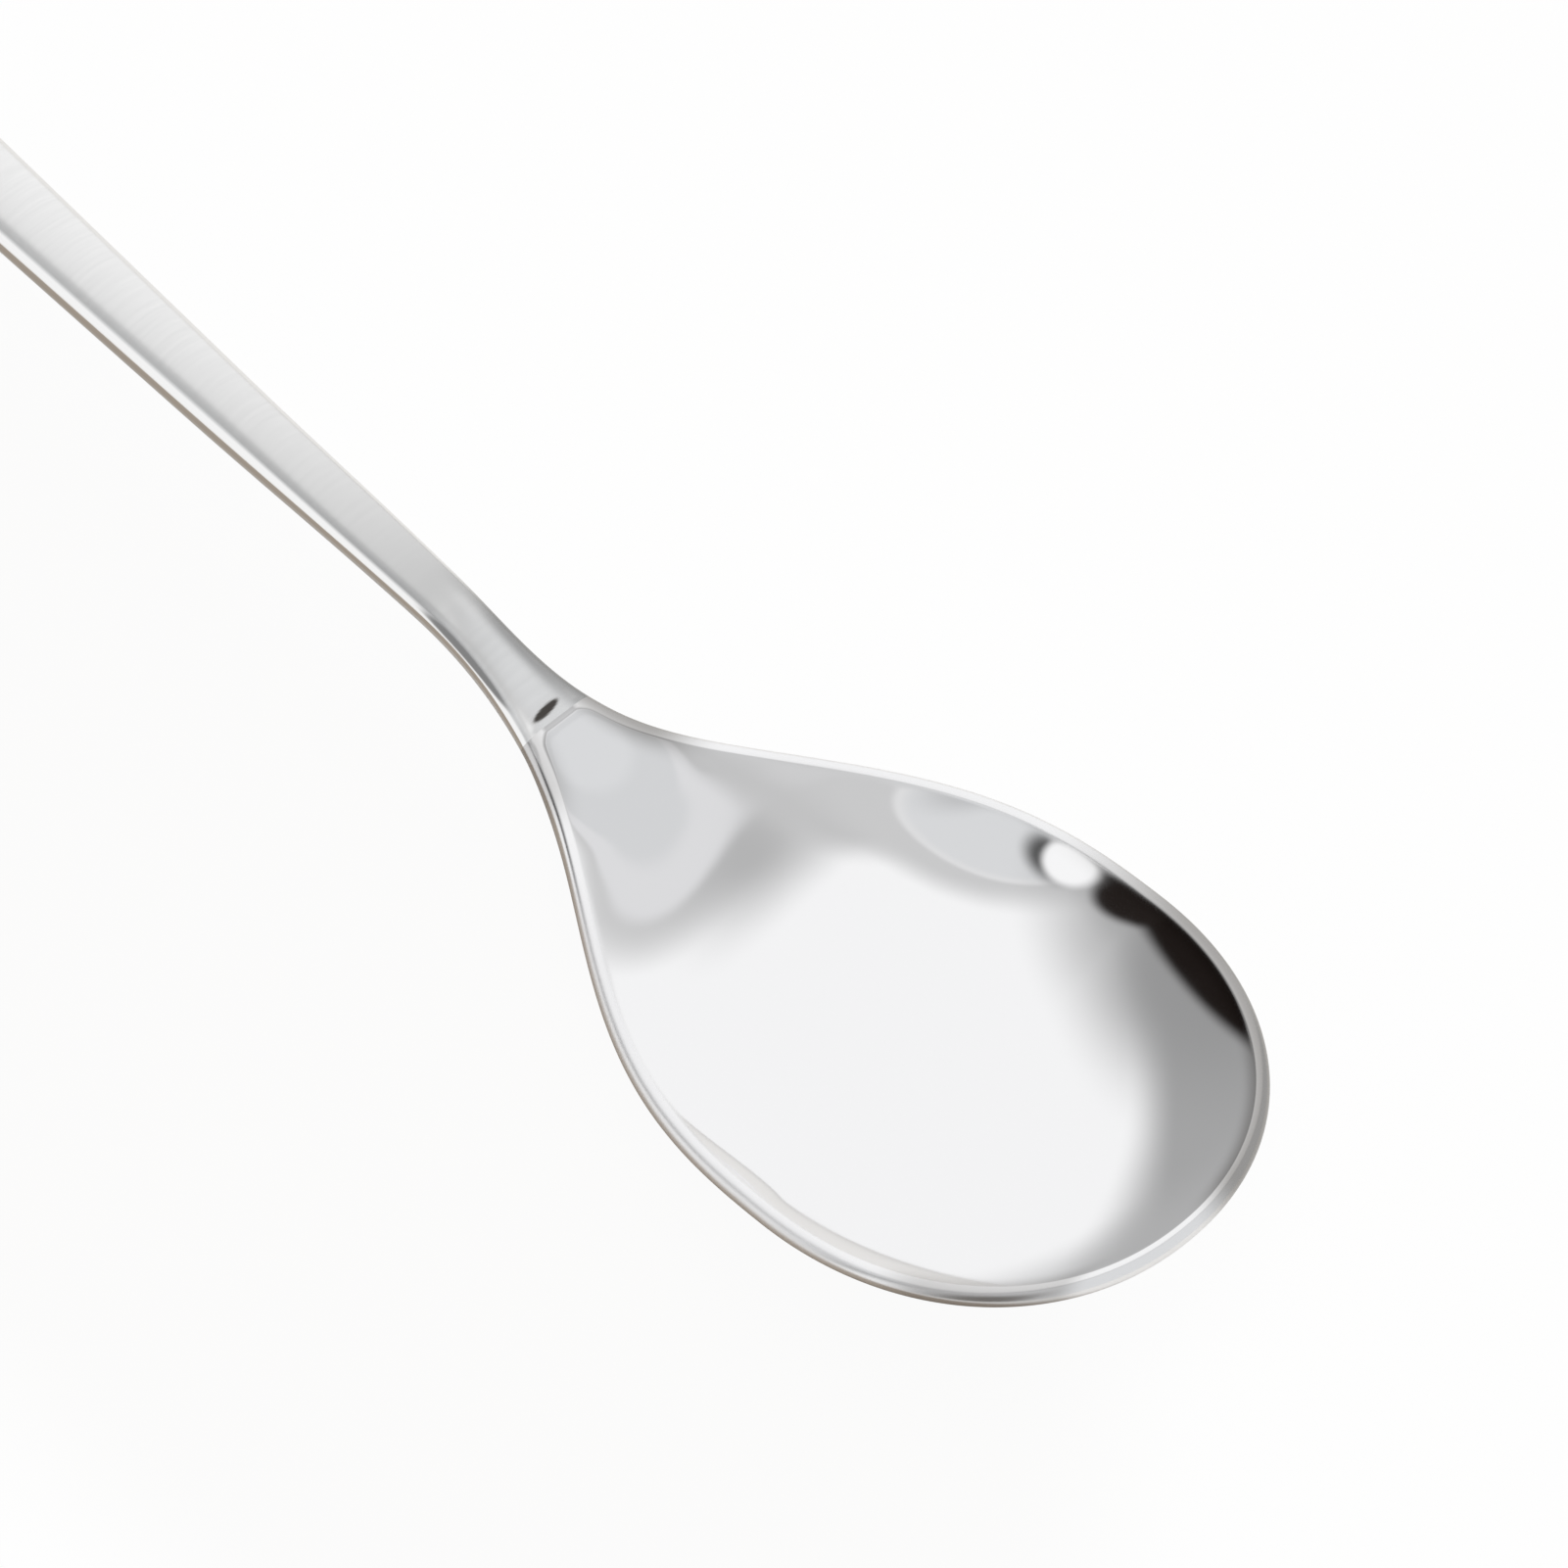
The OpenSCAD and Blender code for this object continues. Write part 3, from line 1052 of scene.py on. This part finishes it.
@dataclass(frozen=True)
class Studio:
    """White table and white surroundings with a few soft cards, which the polished metal reflects.

    The table has a faint warm painted shadow on the near side: it lies round a line that reaches
    shade_length to either side of shade_centre, and it fades out between shade_from and shade_to.
    """

    cards: tuple[Card | Screen, ...]
    surround: str = "#fcfcfc"
    backdrop: str = "#ffffff"
    floor_colour: str = "#f2f0ed"
    # Colour of the painted shadow on the table's near side.
    painted_shadow_colour: str = "#a89d91"
    shade_centre: tuple[float, float, float] = (0.0, -34.0 * MM, 0.0)
    shade_length: float = 75.0 * MM
    shade_from: float = 24.0 * MM
    shade_to: float = 40.0 * MM
    floor_radius: float = 3.0
    floor_sides: int = 96
    floor_gap: float = 0.02 * MM
    floor_lift: float = 0.95
    lamp_size: float = 1.0
    lamp_height: float = 1.0
    lamp_power: float = 3.0

    def build_world(self) -> None:
        """Colour the surroundings: plain white to the camera, the cards over near-white to other rays."""
        world = bpy.data.worlds.new("white_studio")
        bpy.context.scene.world = world
        world.use_nodes = True
        tree = world.node_tree
        tree.nodes.clear()
        ray = add_node(tree, "ShaderNodeTexCoord").outputs["Generated"]
        colour = linear(self.surround)
        for card in self.cards:
            colour = add_node(tree, "ShaderNodeMix", {
                "Factor": card.mask(tree, ray), "A": colour, "B": linear(card.tone)},
                data_type="RGBA").outputs["Result"]
        path = add_node(tree, "ShaderNodeLightPath")
        seen = add_node(tree, "ShaderNodeMix", {
            "Factor": path.outputs["Is Camera Ray"], "A": colour, "B": linear(self.backdrop)},
            data_type="RGBA")
        light = add_node(tree, "ShaderNodeBackground", {"Color": seen.outputs["Result"], "Strength": 1.0})
        add_node(tree, "ShaderNodeOutputWorld", {"Surface": light.outputs["Background"]})

    def build_floor(self) -> bpy.types.Object:
        """Make the round table top, just under the spoon.

        Returns:
            The floor.
        """
        mesh = bpy.data.meshes.new("studio_floor")
        turn = 2 * np.pi * np.arange(self.floor_sides) / self.floor_sides
        rim = np.stack([np.cos(turn) * self.floor_radius, np.sin(turn) * self.floor_radius,
                        np.full(self.floor_sides, -self.floor_gap)], -1)
        mesh.from_pydata(rim.tolist(), [], [list(range(self.floor_sides))])
        mesh.materials.append(self.floor_material())
        floor = bpy.data.objects.new("studio_floor", mesh)
        bpy.context.scene.collection.objects.link(floor)
        return floor

    def floor_material(self) -> bpy.types.Material:
        """Matt white table: the camera sees it lifted to white with a soft shadow, and nothing from below.

        Its colour is a smooth step, from the painted warm shadow to white, of the distance to the shade's
        line.

        Returns:
            The material.
        """
        made = bare_material("matt_white_table")
        tree = made.node_tree
        place = add_node(tree, "ShaderNodeTexCoord").outputs["Object"]
        shifted = add_node(tree, "ShaderNodeVectorMath", {
            0: place, 1: self.shade_centre}, operation="SUBTRACT")
        either = add_node(tree, "ShaderNodeVectorMath", {0: shifted.outputs["Vector"]}, operation="ABSOLUTE")
        past = add_node(tree, "ShaderNodeVectorMath", {
            0: either.outputs["Vector"], 1: (self.shade_length, 0.0, 0.0)}, operation="SUBTRACT")
        beside = add_node(tree, "ShaderNodeVectorMath", {
            0: past.outputs["Vector"], 1: (0.0, 0.0, 0.0)}, operation="MAXIMUM")
        gap = add_node(tree, "ShaderNodeVectorMath", {0: beside.outputs["Vector"]}, operation="LENGTH")
        # Painted shadow: the warm shade near the line, white away from it.
        away = add_node(tree, "ShaderNodeMapRange", {
            "Value": gap.outputs["Value"], "From Min": self.shade_from, "From Max": self.shade_to},
            interpolation_type="SMOOTHSTEP")
        tint = add_node(tree, "ShaderNodeMix", {
            "Factor": away.outputs["Result"], "A": linear(self.painted_shadow_colour), "B": linear(self.floor_colour)},
            data_type="RGBA")
        matt = add_node(tree, "ShaderNodeBsdfDiffuse", {"Color": tint.outputs["Result"]})
        white = add_node(tree, "ShaderNodeEmission", {"Color": linear(self.backdrop), "Strength": 1.0})
        path = add_node(tree, "ShaderNodeLightPath")
        lift = add_node(tree, "ShaderNodeMath", {
            0: path.outputs["Is Camera Ray"], 1: self.floor_lift}, operation="MULTIPLY")
        top = add_node(tree, "ShaderNodeMixShader", {
            0: lift.outputs["Value"], 1: matt.outputs["BSDF"], 2: white.outputs["Emission"]})
        clear = add_node(tree, "ShaderNodeBsdfTransparent")
        below = add_node(tree, "ShaderNodeNewGeometry").outputs["Backfacing"]
        both = add_node(tree, "ShaderNodeMixShader", {
            0: below, 1: top.outputs["Shader"], 2: clear.outputs["BSDF"]})
        add_node(tree, "ShaderNodeOutputMaterial", {"Surface": both.outputs["Shader"]})
        return made

    def build_lamp(self) -> bpy.types.Object:
        """Make the overhead soft box that lights the table and draws the spoon's soft shadow.

        Returns:
            The lamp.
        """
        data = bpy.data.lights.new("overhead_soft_box", "AREA")
        data.shape = "DISK"
        data.size = self.lamp_size
        data.energy = self.lamp_power
        lamp = bpy.data.objects.new("overhead_soft_box", data)
        lamp.location = (0.0, 0.0, self.lamp_height)
        lamp.visible_glossy = False
        bpy.context.scene.collection.objects.link(lamp)
        return lamp

    def build(self) -> None:
        """Make the whole studio and set the plain view transform."""
        bpy.context.scene.view_settings.view_transform = "Standard"
        self.build_world()
        self.build_floor()
        self.build_lamp()


# Middles of the two round screens.
LARGE_SCREEN = {"azimuth": 11.0, "elevation": 11.5}
SMALL_SCREEN = {"azimuth": -112.0, "elevation": 50.0}

# What the mirror-bright metal reflects; a later card lies over the earlier ones.
STUDIO_CARDS = (
    # A large round grey screen on the camera's side: a thin dark gap round it with a wider one over it, then
    # its lighter rim and its two grey zones.
    Screen(**LARGE_SCREEN, radius=83.4, tone="#cfcfcf", softness=1.3),
    Card(azimuth=128.5, elevation=81.0, half_width=27.0, half_height=3.2, tone="#bababa", softness=0.9,
         turn=59.5),
    Screen(**LARGE_SCREEN, radius=82.0, tone="#e3e3e4", softness=0.3),
    Screen(**LARGE_SCREEN, radius=80.5, tone="#d9dadb", softness=0.4),
    Screen(**LARGE_SCREEN, radius=74.0, tone="#e0e1e2", softness=2.0),
    # A soft grey panel beside the far rim.
    Card(azimuth=-97.0, elevation=69.0, half_width=6.0, half_height=11.0, tone="#c9c9c9", softness=0.6),
    # A smaller round screen: the dark gap round it, which lies a little off its middle, its rim and its face.
    Screen(azimuth=-110.0, elevation=53.0, radius=18.0, tone="#d0d0d0", softness=3.5),
    Screen(**SMALL_SCREEN, radius=15.0, tone="#e6e6e6", softness=0.5),
    Screen(**SMALL_SCREEN, radius=14.0, tone="#dedfe0", softness=0.8),
    # The grey wall that the tip of the bowl faces, with a long upper edge.
    Card(azimuth=175.5, elevation=28.0, half_width=50.0, half_height=5.0, tone="#aaaaaa", softness=0.47,
         turn=38.0),
    Card(azimuth=-160.5, elevation=39.0, half_width=22.0, half_height=10.0, tone="#9c9c9c", softness=0.67,
         turn=23.5),
    # The low end of that wall, close to the table.
    Card(azimuth=146.0, elevation=1.5, half_width=24.0, half_height=4.6, tone="#b4b4b4", softness=0.67,
         turn=33.0),
    # A tall grey panel on the near side, which the neck's near edge faces.
    Card(azimuth=-99.0, elevation=29.0, half_width=7.5, half_height=25.0, tone="#868686", softness=0.3),
    # The dark camera with its stand, which only the lowest stretch of the rim faces.
    Card(azimuth=-49.0, elevation=22.0, half_width=15.0, half_height=42.0, tone="#7c7874", softness=0.4),
    # A long black flag with a short one beside it.
    Card(azimuth=-159.0, elevation=35.0, half_width=24.5, half_height=6.0, tone="#1e1917", softness=0.12,
         turn=34.0),
    Card(azimuth=-140.5, elevation=46.1, half_width=3.6, half_height=2.4, tone="#241f1d", softness=0.3),
    # A dark lamp housing, and the bright lamp window before it.
    Card(azimuth=-127.5, elevation=51.2, half_width=4.4, half_height=2.5, tone="#585858", softness=0.5),
    Card(azimuth=-130.0, elevation=49.2, half_width=4.3, half_height=3.0, tone="#ffffff", softness=0.22,
         turn=-8.0),
)


def main() -> None:
    """Build the spoon's pieces, then the studio and the camera."""
    logging.basicConfig(level=logging.INFO, format="%(message)s")
    form = SpoonForm()
    pose = RestPose.from_frame(form, frame["record"])
    # Painted grey reflection on the neck's far shoulder, which runs on from the bowl into the bar.
    shoulder = PaintedReflectionEdge(start=59.0, stop=70.0, lead=6.0, trail=8.0, depth=2.8, from_middle=1.5)
    # Painted grey reflection on the far rim, from the tip round to the widest place.
    far_rim = PaintedReflectionEdge(start=0.0, stop=16.0, lead=1.0, trail=18.0, depth=2.0, from_middle=6.0)
    # Painted grey reflection on the near edge of the neck stub, as far as the joint.
    stub = PaintedReflectionEdge(start=60.0, stop=63.0, lead=5.0, trail=1.0, depth=2.8, from_middle=0.8,
                    side=Side.NEAR, strength=0.5)
    # Painted grey reflection on the near rim beside the tip, the lowest stretch in the photograph.
    low_rim = PaintedReflectionEdge(start=3.2, stop=9.0, lead=1.5, trail=5.0, depth=2.2, from_middle=4.0,
                       side=Side.NEAR, strength=0.55)
    for maker in (Bowl(form, pose, MirrorPolishedSteel(), (shoulder, far_rim, stub, low_rim)),
                  Handle(form, pose, SatinBrushedSteel(), BrazeResidue(), shoulder)):
        piece = maker.build()
        maker.dress(piece)
        LOG.info("%s: %d faces", piece.name, len(piece.data.polygons))
    Studio(STUDIO_CARDS).build()
    camera = PhotoCamera().build(pose)
    LOG.info("camera at %s m, %.1f mm lens", [round(v, 4) for v in camera.location], camera.data.lens)


if __name__ == "__main__":
    main()
